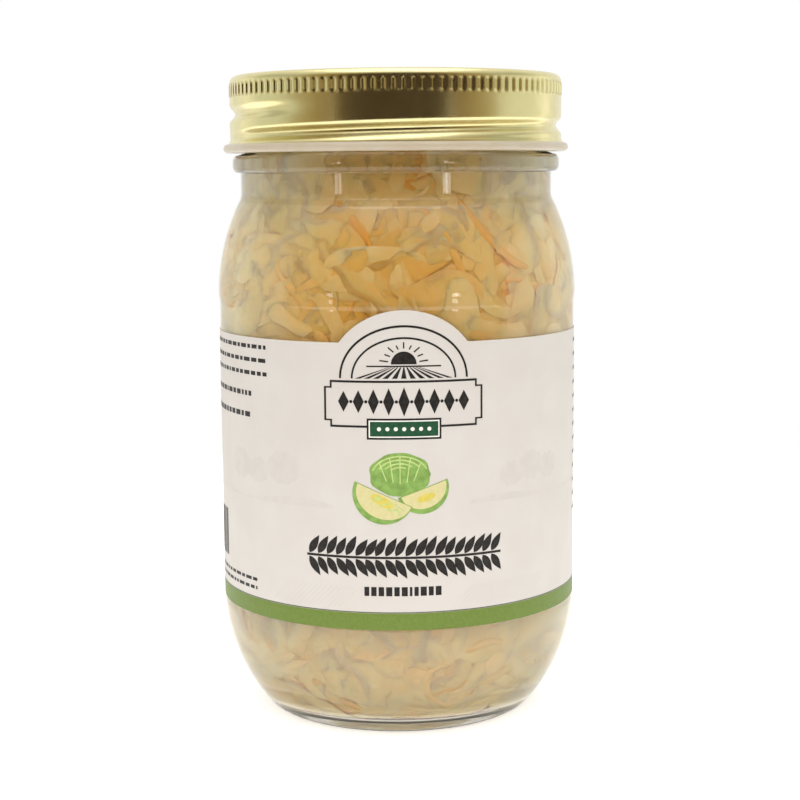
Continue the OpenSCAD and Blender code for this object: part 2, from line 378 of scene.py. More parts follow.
def white_board():
    """Matt white laminate board, lit a little from below as a light table: even, with a faint grain."""
    values = bpy.context.scene.jar_stage
    material, tree, output = new_material("board, matt white")
    shade = [c * s for c, s in zip(values.floor, (0.99, 0.99, 0.985, 1))]
    board = add_node(tree, "ShaderNodeBsdfPrincipled", [
        ("Roughness", 0.7), ("Specular IOR Level", 0.2),
        ("Emission Color", (1, 1, 1, 1)), ("Emission Strength", 0.5),
    ], [
        ("Base Color", mottled(tree, (values.floor, shade), 30)), ("Normal", bumps(tree, 1.5, 0.01)),
    ])
    tree.links.new(board.outputs[0], output.inputs["Surface"])
    return material


# ---------------------------------------------------------------- making pieces


def make_piece(name, points, faces, material, slot, smooth_angle=40):
    """A closed mesh object with outward normals that rides on the jar's one body."""
    mesh = bpy.data.meshes.new(name)
    mesh.from_pydata(points, [], faces)
    shell = bmesh.new()
    shell.from_mesh(mesh)
    bmesh.ops.recalc_face_normals(shell, faces=shell.faces)
    shell.to_mesh(mesh)
    shell.free()
    mesh.materials.append(material)
    piece = bpy.data.objects.new(name, mesh)
    bpy.context.scene.collection.objects.link(piece)
    mesh.shade_smooth()
    mesh.set_sharp_from_angle(angle=math.radians(smooth_angle))
    if slot:
        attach(piece, "root")
    return piece


def arc(x, z, r, start, end, steps):
    """Points of an arc about (x, z) between two angles in degrees."""
    angles = np.radians(np.linspace(start, end, steps + 1))
    return [(x + r * math.cos(a), z + r * math.sin(a)) for a in angles]


def refine(outline, step):
    """The outline with points added, so that none lies further than step from the next."""
    fine = [outline[0]]
    for start, end in zip(outline, outline[1:]):
        parts = max(1, math.ceil(math.dist(start, end) / step))
        fine += [tuple(np.array(start) + (np.array(end) - start) * i / parts) for i in range(1, parts + 1)]
    return fine


def without_repeats(outline):
    """The outline without points that repeat the one before."""
    return [p for i, p in enumerate(outline) if i == 0 or math.dist(p, outline[i - 1]) > 1e-7]


def revolve(outline, angles, displace=None):
    """Points and faces of an outline turned about the axis. Its ends are poles if they lie on the axis, or
    it is a closed loop. displace(angle, radius, height) gives each point's own radius."""
    steps = len(angles)
    closed = outline[0][0] > 1e-9
    rows = outline if closed else outline[1:-1]
    radius, height = np.array(rows).T
    turn, r = np.meshgrid(angles, radius)
    z = np.repeat(height[:, None], steps, axis=1)
    if displace:
        r = displace(turn, r, z)
    points = np.stack((r * np.sin(turn), -r * np.cos(turn), z), axis=-1).reshape(-1, 3).tolist()
    count = len(rows)
    faces = []
    for i in range(count if closed else count - 1):
        low, high = i * steps, (i + 1) % count * steps
        faces += [(low + j, low + (j + 1) % steps, high + (j + 1) % steps, high + j) for j in range(steps)]
    if not closed:
        points += [(0, 0, outline[0][1]), (0, 0, outline[-1][1])]
        last = (count - 1) * steps
        faces += [(count * steps, (j + 1) % steps, j) for j in range(steps)]
        faces += [(count * steps + 1, last + j, last + (j + 1) % steps) for j in range(steps)]
    return points, faces


def even_angles(steps):
    """Angles that share one turn evenly."""
    return np.arange(steps) * TURN / steps


def smooth_step(low, high, value):
    """0 below low, 1 above high, and a soft curve between, for numbers or arrays."""
    t = np.clip((value - low) / (high - low), 0, 1)
    return t * t * (3 - 2 * t)


# ---------------------------------------------------------------- outlines of the glass


class JarLines:
    """Radii and heights of the glass, worked out from the frame's boxes and the scene's sizes."""

    def __init__(self):
        g = bpy.context.scene.jar_glass
        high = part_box("jar")[1]
        self.sizes = g
        self.top = high.z
        self.body_r = high.x
        self.shoulder_z = self.top - g.shoulder_drop
        self.panel_z = g.heel_h - g.panel_run
        self.floor_r = g.stand_r - g.floor_inset
        self.neck_r = g.finish_r + g.neck_out
        self.neck_z = self.top - g.neck_drop
        self.bore_r = self.neck_r - g.neck_wall
        self.bead_r = self.neck_r + g.bead_out
        self.bead_z = self.top - g.bead_drop

    def heel(self, wall_r, flat_r, bottom, toe):
        """Heel from a floor of radius flat_r up to the wall of radius wall_r."""
        wide, tall = wall_r - flat_r, self.sizes.heel_h - bottom
        big = toe + ((tall - toe) ** 2 + (wide - toe) ** 2) / (2 * (wide - toe))
        meet = math.degrees(math.asin((tall - toe) / (big - toe)))
        return (arc(flat_r, bottom + toe, toe, -90, -meet, 10)
                + arc(wall_r - big, self.sizes.heel_h, big, -meet, 0, 26))

    def shoulder(self, wall_r, top_r):
        """Shoulder from the wall into a neck of radius top_r, ending in a hollow curve."""
        small = self.sizes.neck_fillet_r
        wide, tall = wall_r - top_r, self.neck_z - self.shoulder_z
        both = (tall ** 2 + wide ** 2) / (2 * wide)
        meet = math.degrees(math.asin(tall / both))
        return (arc(wall_r - both + small, self.shoulder_z, both - small, 0, meet, 22)
                + arc(top_r + small, self.neck_z, small, 180 + meet, 180, 8))

    def inside(self, inset, top):
        """Inner face of the glass, drawn in by inset, from the middle of its floor up to top."""
        g = self.sizes
        wall_r, neck_r = self.body_r - g.wall - inset, self.bore_r - inset
        toe = g.inner_toe_r - min(inset, 0.8 * g.inner_toe_r)
        lines = [(0, g.floor_h + max(inset, 0))]
        lines += self.heel(wall_r, self.floor_r - inset, g.floor_h + max(inset, 0), toe)
        return without_repeats(lines + self.shoulder(wall_r, neck_r) + [(neck_r, top)])

    def outside(self):
        """Outer face of the glass, from the middle of its base up to the rim's inner edge."""
        g = self.sizes
        bead_low, bead_high = self.bead_z - g.bead_h / 2, self.bead_z + g.bead_h / 2
        edge = 1.5 * MM
        slope = 0.4 * MM
        lines = [(0, g.punt_h), (0.8 * (g.stand_r - g.stand_w), 0.8 * g.punt_h), (g.stand_r - g.stand_w, 0)]
        lines += self.heel(self.body_r, g.stand_r, 0, g.toe_r)
        lines += self.shoulder(self.body_r, self.neck_r)
        lines += [(self.neck_r, bead_low)]
        lines += arc(self.bead_r - edge, bead_low + edge, edge, -60, 0, 6)
        lines += arc(self.bead_r - edge, bead_high - edge, edge, 0, 60, 6)
        lines += [(g.finish_r, bead_high + slope)]
        lines += arc(g.finish_r - g.rim_r, self.top - g.rim_r, g.rim_r, 0, 90, 5)
        lines += arc(self.bore_r + g.rim_r, self.top - g.rim_r, g.rim_r, 90, 180, 5)
        return without_repeats(lines)


def thread_share(turn, z, start, low, pitch, turns, half_width):
    """How fully a thread stands at each point: 1 along its crest, and 0 beside it and past its ends."""
    full = np.zeros_like(z)
    for lap in range(math.ceil(turns) + 1):
        along = ((turn - start) % TURN) / TURN + lap
        across = np.abs(z - low - pitch * along) / half_width
        ends = smooth_step(0, 0.1, along) * smooth_step(0, 0.1, turns - along)
        full = np.maximum(full, ends * np.where(across < 1, 0.5 + 0.5 * np.cos(math.pi * across), 0))
    return full


# ---------------------------------------------------------------- operators


class JAR_OT_glass(bpy.types.Operator):
    """Blows the glass jar, with its label panel, transfer bead and thread"""
    bl_idname = "jar.glass"
    bl_label = "Glass jar"

    def execute(self, context):
        jar = JarLines()
        g = jar.sizes
        outer = refine(jar.outside(), 1.1 * MM)
        inner = refine(jar.inside(0, jar.top - g.rim_r)[::-1], 1.1 * MM)
        steps = 160
        panel_edge = 0.7 * MM
        thread_start = math.radians(30)

        def mould(turn, r, z):
            """Sinks the label panel and raises the thread."""
            in_panel = smooth_step(jar.panel_z - panel_edge, jar.panel_z + panel_edge, z)
            in_panel *= smooth_step(-jar.shoulder_z - panel_edge, -jar.shoulder_z + panel_edge, -z)
            r = np.where(r > jar.body_r - g.wall / 2, np.minimum(r, jar.body_r - g.panel_dip * in_panel), r)
            stands = thread_share(turn, z, thread_start, jar.top - g.thread_drop, g.thread_pitch,
                                  g.thread_turns, g.thread_w / 2)
            return np.where(abs(r - g.finish_r) < 0.01 * MM, r + g.thread_t * stands, r)

        points, faces = revolve(without_repeats(outer + inner), even_angles(steps), mould)
        piece = make_piece("glass_jar", points, faces, flint_glass("dry face", 0.24), "glass", 35)
        piece.data.materials.append(flint_glass("wet face", 0.06))
        wet_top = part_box("sauerkraut")[1].z
        for index, polygon in enumerate(piece.data.polygons):
            wet = index >= (len(outer) - 1) * steps and g.floor_h / 2 < polygon.center.z < wet_top
            polygon.material_index = int(wet)
        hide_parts("jar")
        return {"FINISHED"}


class JAR_OT_cap(bpy.types.Operator):
    """Presses the gold cap with its flutes, rolled thread and curl, and its white lining"""
    bl_idname = "jar.cap"
    bl_label = "Screw cap"

    def execute(self, context):
        c = context.scene.jar_cap
        jar = JarLines()
        low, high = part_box("cap")
        curl_r, curl_z = c.curl_h / 2, low.z + c.curl_h / 2
        skirt_r = high.x - c.curl_out
        knurl_top = high.z - c.corner_r
        skirt_low = low.z + c.curl_h - 0.25 * MM
        panel_z = jar.top + c.panel_t

        def mould(turn, r, z):
            """Presses the flutes and the rolled thread, and flares the lower edge."""
            wall = smooth_step(skirt_r - 1.0 * MM, skirt_r - 0.5 * MM, r)
            step = (turn / TURN * c.knurl_n) % 1
            flute = smooth_step(0.64, 0.74, step) * (1 - smooth_step(0.93, 1.0, step))
            soft = 0.35 * MM
            band = smooth_step(knurl_top - c.knurl_h, knurl_top - c.knurl_h + soft, z)
            band = band * smooth_step(-knurl_top, -knurl_top + soft, -z)
            groove = thread_share(turn, z, math.radians(270), low.z + c.groove_up,
                                  jar.sizes.thread_pitch, c.groove_turns, c.groove_w / 2)
            below = z < knurl_top - c.knurl_h
            flare = 0.4 * MM * (1 - smooth_step(skirt_low, skirt_low + 1.3 * MM, z))
            stand = 0.1 * MM
            return r + wall * (band * (stand - c.knurl_dip * flute) + below * (flare - c.groove_t * groove))

        rim_in = skirt_r - c.rim_w
        flat_r = rim_in - 0.8 * MM
        outer = [(0, panel_z), (flat_r, panel_z)]
        outer += arc(flat_r, panel_z + 0.5 * MM, 0.5 * MM, -90, -40, 3)
        outer += arc(skirt_r - c.corner_r - 1.4 * MM, high.z - 0.9 * MM, 0.9 * MM, 140, 90, 4)
        outer += arc(skirt_r - c.corner_r, high.z - c.corner_r, c.corner_r, 90, 0, 9)
        wall_line = refine([(skirt_r, knurl_top), (skirt_r, skirt_low)], 0.33 * MM)
        outer = without_repeats(outer + wall_line)
        inner = [(max(0, r - c.sheet_t * (r > rim_in)), z - c.sheet_t * (z > knurl_top))
                 for r, z in outer[::-1]]
        lands = (0.08, 0.34, 0.62, 0.74, 0.84, 0.94)
        angles = np.array([(i + s) * TURN / c.knurl_n for i in range(c.knurl_n) for s in lands])
        points, faces = revolve(outer + inner, angles, mould)
        shell = make_piece("cap_shell", points, faces, gold_lacquer(), "cap", 45)
        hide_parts("cap")

        lining_t = 0.12 * MM
        gap = 0.05 * MM
        lining_r = skirt_r - c.groove_t - c.sheet_t - 0.06 * MM
        lining_top = panel_z - c.sheet_t - gap
        lining = [(0, lining_top - lining_t), (lining_r - lining_t, lining_top - lining_t)]
        lining += [(lining_r - lining_t, low.z + 0.3 * MM)]
        lining += arc(high.x - curl_r, curl_z, curl_r, -150, 140, 22)
        lining += [(lining_r, curl_z + 0.3 * MM), (lining_r, lining_top), (0, lining_top)]
        points, faces = revolve(without_repeats(lining), even_angles(192))
        make_piece("cap_lining", points, faces, white_enamel(), "cap", 40)
        return {"FINISHED"}


class JAR_OT_label(bpy.types.Operator):
    """Wraps the paper label round its panel"""
    bl_idname = "jar.label"
    bl_label = "Paper label"

    def execute(self, context):
        sheet = LabelSheet()
        half = sheet.half_length
        tab_h = sheet.tab_h
        bow = (sheet.tab_half ** 2 + tab_h ** 2) / (2 * tab_h)
        spread = math.degrees(math.asin(sheet.tab_half / bow))
        tab = arc(0, sheet.straight_h + tab_h - bow, bow, 90 - spread, 90 + spread, 40)
        outline = [(-half, 0), (half, 0), (half, sheet.straight_h)] + tab + [(-half, sheet.straight_h)]
        piece = sheet.wrap("label_paper", [[outline]], label_paper(), -sheet.paper_t, sheet.paper_t)
        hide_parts("label")
        return {"FINISHED"}


class LabelSheet:
    """The label laid flat: across from the middle of its front, and up from its lower edge."""

    def __init__(self):
        sizes = bpy.context.scene.jar_label
        low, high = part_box("label")
        self.film = sizes.film
        self.paper_t = sizes.paper_t
        self.straight_h = sizes.straight_h
        self.tab_half = sizes.tab_w / 2
        self.face_r = high.x
        self.low_z = low.z
        self.tab_h = high.z - low.z - sizes.straight_h
        self.turn = sizes.turn
        self.half_length = math.pi * self.face_r - sizes.back_gap / 2

    def wrap(self, name, shapes, material, lift, thick):
        """Flat shapes, each a list of an outline and its holes, made solid and bent round the jar."""
        cut_step = 1.2 * MM
        solid = bmesh.new()
        for loops in shapes:
            flat = [Vector((x, y, 0)) for loop in loops for x, y in loop]
            triangles = tessellate_polygon([[Vector((x, y, 0)) for x, y in loop] for loop in loops])
            low = [solid.verts.new((p.x, p.y, lift)) for p in flat]
            high = [solid.verts.new((p.x, p.y, lift + thick)) for p in flat]
            for a, b, c in triangles:
                solid.faces.new((low[a], low[b], low[c]))
                solid.faces.new((high[c], high[b], high[a]))
            start = 0
            for loop in loops:
                for i in range(len(loop)):
                    a, b = start + i, start + (i + 1) % len(loop)
                    solid.faces.new((low[a], low[b], high[b], high[a]))
                start += len(loop)
        across = [v.co.x for v in solid.verts]
        for k in range(math.ceil(min(across) / cut_step), math.floor(max(across) / cut_step) + 1):
            geometry = solid.verts[:] + solid.edges[:] + solid.faces[:]
            place = (k * cut_step, 0, 0)
            bmesh.ops.bisect_plane(solid, geom=geometry, dist=1e-7, plane_co=place, plane_no=(1, 0, 0))
        for v in solid.verts:
            angle = v.co.x / self.face_r + self.turn
            r = self.face_r + v.co.z
            v.co = (r * math.sin(angle), -r * math.cos(angle), self.low_z + v.co.y)
        solid.verts.index_update()
        points = [tuple(v.co) for v in solid.verts]
        faces = [[v.index for v in f.verts] for f in solid.faces]
        solid.free()
        return make_piece(name, points, faces, material, "paper", 30)

    def ink(self, name, shapes, material, layer=0):
        """Printed shapes, in millimetres. A higher layer lies over a lower one."""
        scaled = [[[(x * MM, y * MM) for x, y in loop] for loop in loops] for loops in shapes]
        lift = 0.004 * MM + layer * 1.3 * self.film
        return self.wrap(name, scaled, material, lift, self.film)


# Flat shapes, in millimetres


def box(x0, y0, x1, y1):
    """A rectangle between two opposite corners."""
    return [(x0, y0), (x1, y0), (x1, y1), (x0, y1)]


def oval(x, y, rx, ry, steps=28, turn=0.0):
    """An oval about (x, y), turned by that angle."""
    c, s = math.cos(turn), math.sin(turn)
    ring = [(rx * math.cos(a), ry * math.sin(a)) for a in np.linspace(0, TURN, steps, endpoint=False)]
    return [(x + c * p - s * q, y + s * p + c * q) for p, q in ring]


def leaf(x, y, long, wide, turn, steps=9):
    """A pointed leaf that starts at (x, y) and grows in the direction turn."""
    c, s = math.cos(turn), math.sin(turn)
    share_along = np.linspace(0, 1, steps)
    edge = [(long * t, wide / 2 * math.sin(math.pi * t ** 0.8)) for t in share_along]
    ring = edge + [(p, -q) for p, q in edge[-2:0:-1]]
    return [(x + c * p - s * q, y + s * p + c * q) for p, q in ring]


def bow_band(x, y, rx, ry, thick, start, end, steps=40):
    """A band of even thickness along part of an oval, between two angles in degrees."""
    outer = [(x + rx * math.cos(a), y + ry * math.sin(a)) for a in np.radians(np.linspace(start, end, steps))]
    inner = [(x + (rx - thick) * math.cos(a), y + (ry - thick) * math.sin(a))
             for a in np.radians(np.linspace(end, start, steps))]
    return outer + inner


def notched_plate(half, low, high, notch):
    """A plate of that half width with a square notch cut from each corner."""
    right = [(half - notch, low), (half - notch, low + notch), (half, low + notch)]
    right += [(half, high - notch), (half - notch, high - notch), (half - notch, high)]
    return right + [(-x, y) for x, y in right[::-1]]


def wedge(tip, far, belly, turn):
    """The side of a wedge: a straight cut edge with a round belly."""
    c, s = math.cos(turn), math.sin(turn)
    rounds = np.linspace(0.12, math.pi - 0.12, 22)
    ring = [(0, 0), (far, 0)] + [(far * (0.5 + 0.5 * math.cos(a)), -belly * math.sin(a)) for a in rounds]
    return [(tip[0] + c * p - s * q, tip[1] + s * p + c * q) for p, q in ring]


def slanted_bar(x0, y0, x1, y1, thick):
    """A straight bar of that thickness between two points."""
    long = math.dist((x0, y0), (x1, y1))
    px, py = -(y1 - y0) / long * thick / 2, (x1 - x0) / long * thick / 2
    return [(x0 + px, y0 + py), (x0 - px, y0 - py), (x1 - px, y1 - py), (x1 + px, y1 + py)]


def dashes(draw, x0, x1, y, tall, long=(0.8, 2.4), gap=0.55):
    """A row of dashes of uneven length between x0 and x1."""
    row = []
    x = x0
    while x < x1 - 0.5:
        end = min(x1, x + draw.uniform(*long))
        row.append([box(x, y, end, y + tall)])
        x = end + gap
    return row


class JAR_OT_print(bpy.types.Operator):
    """Prints the label: badge, plate, cabbage picture, leaf border, band and plain rules"""
    bl_idname = "jar.print"
    bl_label = "Label print"

    def execute(self, context):
        tones = context.scene.jar_label
        sheet = LabelSheet()
        black = printing_ink("black", tones.black, 1.6)
        self.badge(sheet, black, tones)
        self.cabbage(sheet, tones)
        self.leaf_border(sheet, black)
        self.small_rules(sheet, black)
        self.fields(sheet, printing_ink("haze", tones.haze, 1.03, 2))
        half = sheet.half_length / MM
        band = printing_ink("band green", tones.band, 1.12, 0.5)
        sheet.ink("print_band", [[box(-half, 0, half, 3.55)]], band, 1)
        edge = printing_ink("grey", linear("#5E6152"), 1.1)
        sheet.ink("print_band_edge", [[box(-half, 3.6, half, 3.82)]], edge, 1)
        return {"FINISHED"}

    def badge(self, sheet, black, tones):
        """An arched badge with a sun over furrows, a notched plate with lozenges, and a small green plate."""
        foot = 52.0
        lines = [[bow_band(0, foot, 13.3, 10.8, 0.45, 0, 180)], [bow_band(0, foot, 10.8, 8.4, 0.4, 0, 180)]]
        sun_y = foot + 2.9
        sun = [arc(0, sun_y, 2.6, 0, 180, 23)]
        rays = []
        for k in range(9):
            a = math.radians(10 + 20 * k)
            near, far = 3.2, 4.5 if k % 2 else 5.0
            start = (near * math.cos(a), sun_y + near * math.sin(a))
            rays.append([slanted_bar(*start, far * math.cos(a), sun_y + far * math.sin(a) * 0.9, 0.28)])
        furrows = []
        for k in range(-5, 6):
            furrows.append([[(1.9 * k - 0.55, foot), (1.9 * k + 0.55, foot), (0.62 * k + 0.12, foot + 2.3),
                             (0.62 * k - 0.12, foot + 2.3)]])
        ground = [[box(-7.6, foot + 2.35, 7.6, foot + 2.65)]]
        sheet.ink("print_badge", lines + [sun] + rays + furrows + ground, black, 1)

        x, low, high, line = 16.6, 42.0, 51.6, 0.45
        ticket = notched_plate(x, low, high, 1.3)
        tall_in = 1 - 2 * line / (high - low)
        inner = [(px * (1 - line / x), low + line + (py - low) * tall_in) for px, py in ticket]
        plate = [[ticket, inner]]
        middle = (low + high) / 2 + 0.5
        for k in range(-4, 5):
            cx = 3.1 * k
            tall = 3.0 - 0.22 * abs(k)
            plate.append([[(cx - 1.15, middle), (cx, middle - tall), (cx + 1.15, middle), (cx, middle + tall)]])
        for k in range(-4, 4):
            plate.append([oval(3.1 * k + 1.55, middle, 0.34, 0.34, 12)])
        sheet.ink("print_plate", plate, black, 1)

        pine = printing_ink("pine green", tones.pine, 1.2)
        white = printing_ink("white", linear("#F0EEE8"), 1.02)
        sheet.ink("print_pine_edge", [[box(-7.6, 39.6, 7.6, 43.9)]], black, 2)
        sheet.ink("print_pine_line", [[box(-7.2, 40.0, 7.2, 43.5)]], white, 3)
        sheet.ink("print_pine", [[box(-6.95, 40.25, 6.95, 43.25)]], pine, 4)
        dots = [[oval(1.7 * k, 41.75, 0.42, 0.42, 14)] for k in range(-3, 4)]
        sheet.ink("print_pine_dots", dots, white, 5)

    def cabbage(self, sheet, tones):
        """A head of cabbage with two wedges cut from another, in flat greens and cream."""
        leaf_ink = printing_ink("leaf green", tones.leaf, 1.35, 1.2)
        pale_ink = printing_ink("pale leaf green", tones.leaf_pale, 1.2, 0.8)
        flesh_ink = printing_ink("flesh cream", tones.flesh, 1.06, 0.8)
        heart_ink = printing_ink("heart yellow", tones.heart, 1.1, 0.8)
        draw = random.Random(3)
        head = [[(x + 0.25 * math.sin(5 * i), y) for i, (x, y) in enumerate(oval(-0.9, 32.4, 6.3, 4.5, 36))]]
        sheet.ink("print_head", [head], leaf_ink, 1)
        veins = [[bow_band(-0.9, 32.2, 5.9 - 1.1 * k, 4.1 - 0.75 * k, 0.28, 20 + 14 * k, 165 - 9 * k, 16)]
                 for k in range(4)]
        veins += [[slanted_bar(-0.9 + 1.4 * k, 30.5 + 0.3 * abs(k), -0.9 + 2.1 * k, 36.2 - 0.35 * k * k, 0.22)]
                  for k in (-2, -1, 0, 1, 2)]
        sheet.ink("print_head_veins", veins, pale_ink, 2)

        left = wedge((-10.2, 31.0), 12.9, 6.2, math.radians(-24))
        right = wedge((-1.4, 27.6), 10.9, 5.2, math.radians(20))
        sheet.ink("print_wedge_rind", [[right]], leaf_ink, 3)
        sheet.ink("print_wedge_rind_left", [[left]], leaf_ink, 5)
        left_cut = wedge((-9.6, 30.6), 12.0, 4.9, math.radians(-24))
        right_cut = wedge((-0.7, 27.7), 9.7, 4.0, math.radians(20))
        sheet.ink("print_wedge_flesh", [[right_cut]], flesh_ink, 4)
        sheet.ink("print_wedge_flesh_left", [[left_cut]], flesh_ink, 6)
        hearts = [[oval(-4.6, 26.9, 2.6, 1.0, 20, math.radians(-28))]]
        sheet.ink("print_wedge_heart", [[oval(4.4, 27.6, 2.0, 0.8, 20, math.radians(18))]], heart_ink, 5)
        sheet.ink("print_wedge_heart_left", hearts, heart_ink, 7)
        folds = []
        for k in range(14):
            t = draw.uniform(0.12, 0.85)
            x = -9.6 + 12.0 * t * 0.9
            y = 30.2 - 12.0 * t * 0.4 - draw.uniform(0.6, 2.6) * math.sin(math.pi * t)
            folds.append([leaf(x, y, draw.uniform(0.8, 1.9), 0.3, draw.uniform(-1.2, 0.3), 5)])
        sheet.ink("print_wedge_folds", folds, pale_ink, 8)

    def leaf_border(self, sheet, black):
        """A garland of small leaves along a stem, bold and dark, with a slightly worn print."""
        draw = random.Random(11)
        middle = 15.2
        shapes = [[slanted_bar(-21.0, middle, 21.0, middle, 0.5)]]
        for k in range(20):
            x = -20.6 + 2.06 * k
            for side in (1, -1):
                long = 4.5 + draw.uniform(-0.25, 0.25)
                lean = math.radians(58 + draw.uniform(-4, 4))
                shapes.append([leaf(x + 0.15, middle + 0.32 * side, long, 1.75, side * lean, 9)])
        sheet.ink("print_leaf_border", shapes, black, 1)

    def small_rules(self, sheet, black):
        """Rows of short dashes where small print would be, and a row of plain upright bars."""
        draw = random.Random(5)
        shapes = dashes(draw, -8.4, 8.4, 7.2, 1.9, (0.5, 1.3), 0.42)
        for y in (56.9, 54.1, 51.3):
            shapes += dashes(draw, -62, -31.2, y, 0.85)
        shapes += dashes(draw, -62, -36.5, 46.8, 1.05)
        shapes += dashes(draw, -62, -37.0, 42.3, 1.1)
        for y in (7.2, 5.4):
            shapes += dashes(draw, -60, -35.5, y, 0.7)
        x = -64.0
        while x < -49.6:
            wide = draw.choice((0.25, 0.4, 0.6, 0.85))
            shapes.append([box(x, 10.2, x + wide, 20.6)])
            x += wide + draw.choice((0.3, 0.45, 0.7))
        for k in range(13):
            shapes += dashes(draw, 52.0, 82.0, 56.2 - 3.1 * k, 0.75)
        sheet.ink("print_rules", shapes, black, 1)

    def fields(self, sheet, haze):
        """Faint hills, trees and slanted hatching behind the rest."""
        hills = []
        for x0, x1, base, tall in ((14, 62, 26.5, 3.4), (-64, -15, 25.8, 4.2)):
            top = []
            for t in np.linspace(0, 1, 30):
                rise = (0.45 + 0.55 * math.sin(2.2 + 5 * t)) * math.sin(math.pi * t)
                top.append((x0 + (x1 - x0) * t, base + tall * rise))
            hills.append([top + [(x1, base - 0.7), (x0, base - 0.7)]])
        trees = [(24, 30.0, 3.2), (29.5, 31.2, 3.9), (35.5, 30.6, 3.4)]
        trees += [(-27, 31.4, 4.4), (-34.5, 30.2, 3.4), (-41, 31.0, 4.0)]
        for x, y, r in trees:
            crown = [(px + 0.35 * math.sin(3 * i), py + 0.3 * math.cos(4 * i)) for i, (px, py) in
                     enumerate(oval(x, y + 1.2, r, 0.8 * r, 26))]
            hills.append([crown])
        sheet.ink("print_fields", hills, haze, 0)
        places = [x for x in np.arange(-30, 30, 1.15) if abs(x + 2) > 11.5]
        hatch = [[slanted_bar(x, 4.6, x + 4.4, 9.0, 0.22)] for x in places]
        sheet.ink("print_hatch", hatch, haze, 0)


class JAR_OT_brine(bpy.types.Operator):
    """Fills the jar with brine, and packs a core of cabbage behind the shreds"""
    bl_idname = "jar.brine"
    bl_label = "Brine and core"

    def execute(self, context):
        k = context.scene.jar_kraut
        jar = JarLines()
        floor_h = jar.sizes.floor_h
        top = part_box("sauerkraut")[1].z
        outline = refine(jar.inside(-k.into_wall, top) + [(0, top)], 2.2 * MM)
        outline[0] = (0, floor_h - k.into_wall)
        outline = [(r, z if z > floor_h + 1e-6 else floor_h - k.into_wall) for r, z in outline]
        points, faces = revolve(without_repeats(outline), even_angles(128))
        piece = make_piece("brine", points, faces, salt_brine(), "kraut", 50)
        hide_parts("sauerkraut")

        core_top = top - 3 * MM
        core = refine(jar.inside(k.core_in, core_top) + [(0, core_top)], 1.1 * MM)

        def fold(turn, r, z):
            """Crumples the core's face into the folds of packed shreds."""
            shifted = r.copy()
            for i in np.ndindex(r.shape):
                place = Vector((r[i] * math.sin(turn[i]), -r[i] * math.cos(turn[i]), z[i])) / (7 * MM)
                folds = 0.5 - 1.7 * abs(noise.noise(place)) + 0.4 * noise.noise(place * 2.6)
                shifted[i] += k.core_relief * folds
            return np.maximum(shifted, 0.5 * MM)

        points, faces = revolve(without_repeats(core), even_angles(220), fold)
        dark = [c * s for c, s in zip(k.core, (0.92, 0.8, 0.6, 1))]
        make_piece("kraut_core", points, faces, wet_cabbage("packed core", k.core, dark), "kraut", 60)
        return {"FINISHED"}


# Kinds of shred: name, count, length, width and thickness in mm, depth behind the glass in mm, twist in turns
SHREDS = (
    ("kraut_leaf_strips", 950, (13, 26), (3.0, 5.6), 0.36, (0.10, 1.3), 0.03),
    ("kraut_long_shreds", 420, (16, 34), (1.4, 2.6), 0.40, (0.15, 1.4), 0.05),
    ("kraut_leaf_flakes", 850, (13, 25), (5.5, 10.0), 0.32, (0.08, 1.2), 0.02),
    ("kraut_rib_shreds", 160, (8, 18), (1.8, 3.2), 0.6, (0.3, 1.4), 0.04),
)


class JAR_OT_shreds(bpy.types.Operator):
    """Packs shreds of cabbage against the glass, one piece for each kind"""
    bl_idname = "jar.shreds"
    bl_label = "Shreds"

    def execute(self, context):
        k = context.scene.jar_kraut
        packing = ShredPacking()
        finishes = {
            "kraut_leaf_strips": wet_cabbage("pale leaf", k.pale, k.warm),
            "kraut_long_shreds": wet_cabbage("warm shreds", k.warm, k.pale),
            "kraut_leaf_flakes": wet_cabbage("leaf flakes", k.pale, k.warm),
            "kraut_rib_shreds": wet_cabbage("ribs", k.rib, k.pale),
        }
        for index, (name, count, long, wide, thick, depth, twist) in enumerate(SHREDS):
            draw = np.random.default_rng(k.seed + index)
            points, faces = [], []
            for _ in range(int(count * k.amount)):
                packing.add_shred(draw, points, faces, long, wide, thick, depth, twist)
            make_piece(name, points, faces, finishes[name], "kraut", 70)
        return {"FINISHED"}


